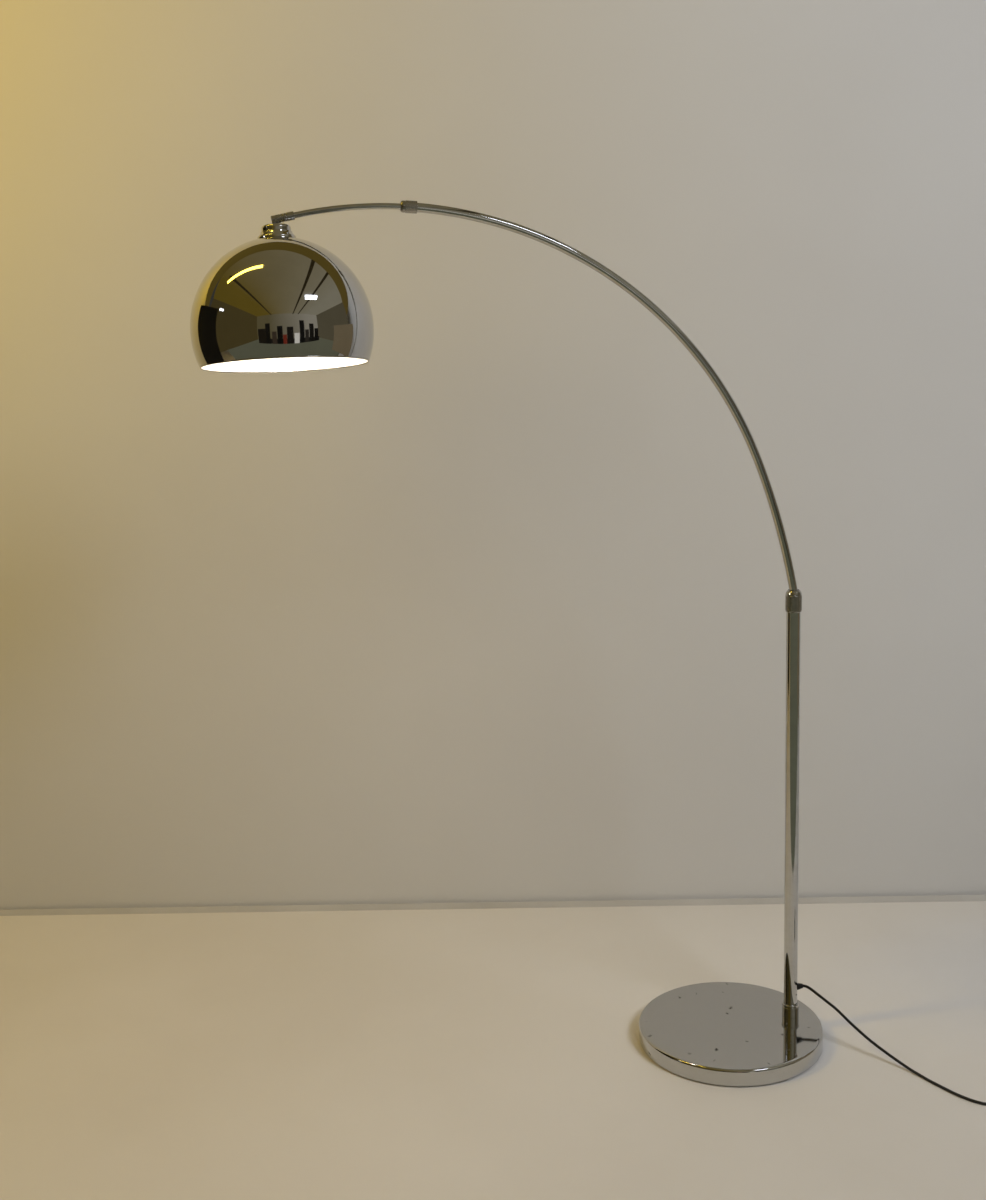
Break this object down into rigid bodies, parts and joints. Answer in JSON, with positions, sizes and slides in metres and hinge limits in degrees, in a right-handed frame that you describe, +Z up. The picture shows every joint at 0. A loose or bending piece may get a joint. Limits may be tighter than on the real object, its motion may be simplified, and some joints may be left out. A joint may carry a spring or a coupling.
{
  "type": "arc floor lamp",
  "caption": "Floor lamp with a round weighted base, an offset pole, a curved telescopic arm and a dome shade on a swivel joint.",
  "frame": {"origin": "centre of the round base's underside, on the floor", "axes": "+Z up; the arm reaches towards -X; the pole stands on the +X side"},
  "size_m": [1.4094, 0.6087, 1.5292],
  "materials": {
    "chrome_steel": "polished",
    "chrome_cast": "polished",
    "cast_weight": "matte",
    "zinc_steel": "satin",
    "black_painted_steel": "satin",
    "black_rubber": "matte",
    "black_pvc": "satin",
    "black_plastic": "satin",
    "white_nylon": "satin",
    "brass_contact": "satin",
    "bulb_aluminium": "satin",
    "opal_glass": "satin"
  },
  "bodies": {
    "base": {"base_cover": "chrome_steel", "base_weight": "cast_weight", "base_plate": "black_painted_steel", "base_screws": "zinc_steel", "base_feet": "black_rubber", "pole_bolt": "zinc_steel", "bolt_washer": "zinc_steel", "pole_insert": "zinc_steel", "pole_grub_screw": "black_painted_steel", "pole_ferrule": "chrome_steel", "pole_tube": "chrome_steel", "cord_grommet": "black_rubber", "pole_bush": "white_nylon", "lead_pole": "black_pvc", "lamp_cord": "black_pvc", "switch_cord": "black_pvc", "cord_coil": "black_pvc", "plug_cord": "black_pvc", "switch_base": "black_plastic", "switch_cover": "black_plastic", "switch_screws": "zinc_steel", "switch_glands": "black_rubber", "plug_body": "black_plastic", "plug_boot": "black_rubber", "plug_pins": "brass_contact"},
    "pole_lock": {"pole_collar": "chrome_cast"},
    "turntable": {"pole_collet": "white_nylon"},
    "outer_arm": {"arc_tube": "chrome_steel", "tail_ring": "white_nylon", "arc_bush": "white_nylon", "lead_arc": "black_pvc"},
    "arm_lock": {"arc_collar": "chrome_cast"},
    "inner_arm": {"inner_tube": "chrome_steel", "inner_glide": "white_nylon", "tube_adaptor": "chrome_cast", "swivel_rivet": "zinc_steel", "swivel_washer": "zinc_steel", "lead_inner": "black_pvc"},
    "swivel": {"swivel_barrel": "chrome_cast", "tilt_pin": "zinc_steel"},
    "head": {"swivel_stem": "chrome_cast", "holder_cap": "chrome_steel", "shade": "chrome_steel", "shade_washer": "zinc_steel", "lock_nut": "zinc_steel", "lampholder_cap": "black_plastic", "lampholder_shell": "black_plastic", "socket_thread": "brass_contact", "socket_contact": "brass_contact", "bulb_cap": "bulb_aluminium", "bulb_contact": "zinc_steel", "bulb_glass": "opal_glass", "lead_head": "black_pvc"},
    "foot_button": {"switch_button": "black_plastic"}
  },
  "joints": [
    {"name": "pole_collar_twist", "type": "hinge", "parent": "base", "child": "pole_lock", "pos_m": [0.121, 0, 0.8315], "axis": [0, 0, 1], "range_deg": [0, 180]},
    {"name": "arm_swivel", "type": "hinge", "parent": "base", "child": "turntable", "pos_m": [0.121, 0, 0.838], "axis": [0, 0, 1], "range_deg": [-170, 170]},
    {"name": "arm_lift", "type": "slide", "parent": "turntable", "child": "outer_arm", "axis": [0, 0, 1], "range_m": [0, 0.09]},
    {"name": "arm_collar_twist", "type": "hinge", "parent": "outer_arm", "child": "arm_lock", "pos_m": [-0.5405, 0, 1.51873], "axis": [-0.9972, 0, 0.075], "range_deg": [0, 180]},
    {"name": "arm_extend", "type": "hinge", "parent": "outer_arm", "child": "inner_arm", "pos_m": [-0.59261, 0, 0.82568], "axis": [0, -1, 0], "range_deg": [-12, 22]},
    {"name": "head_swing", "type": "hinge", "parent": "inner_arm", "child": "swivel", "pos_m": [-0.72225, 0, 1.50849], "axis": [-0.9825, 0, -0.1865], "range_deg": [-90, 90]},
    {"name": "head_tilt", "type": "hinge", "parent": "swivel", "child": "head", "pos_m": [-0.75143, 0, 1.50295], "axis": [0.0195, 0.9945, -0.1027], "range_deg": [-8, 70]},
    {"name": "foot_button_press", "type": "slide", "parent": "base", "child": "foot_button", "axis": [0, 0, -1], "range_m": [0, 0.0025], "stiffness_N_per_m": 3000, "springref_m": -0.002}
  ]
}
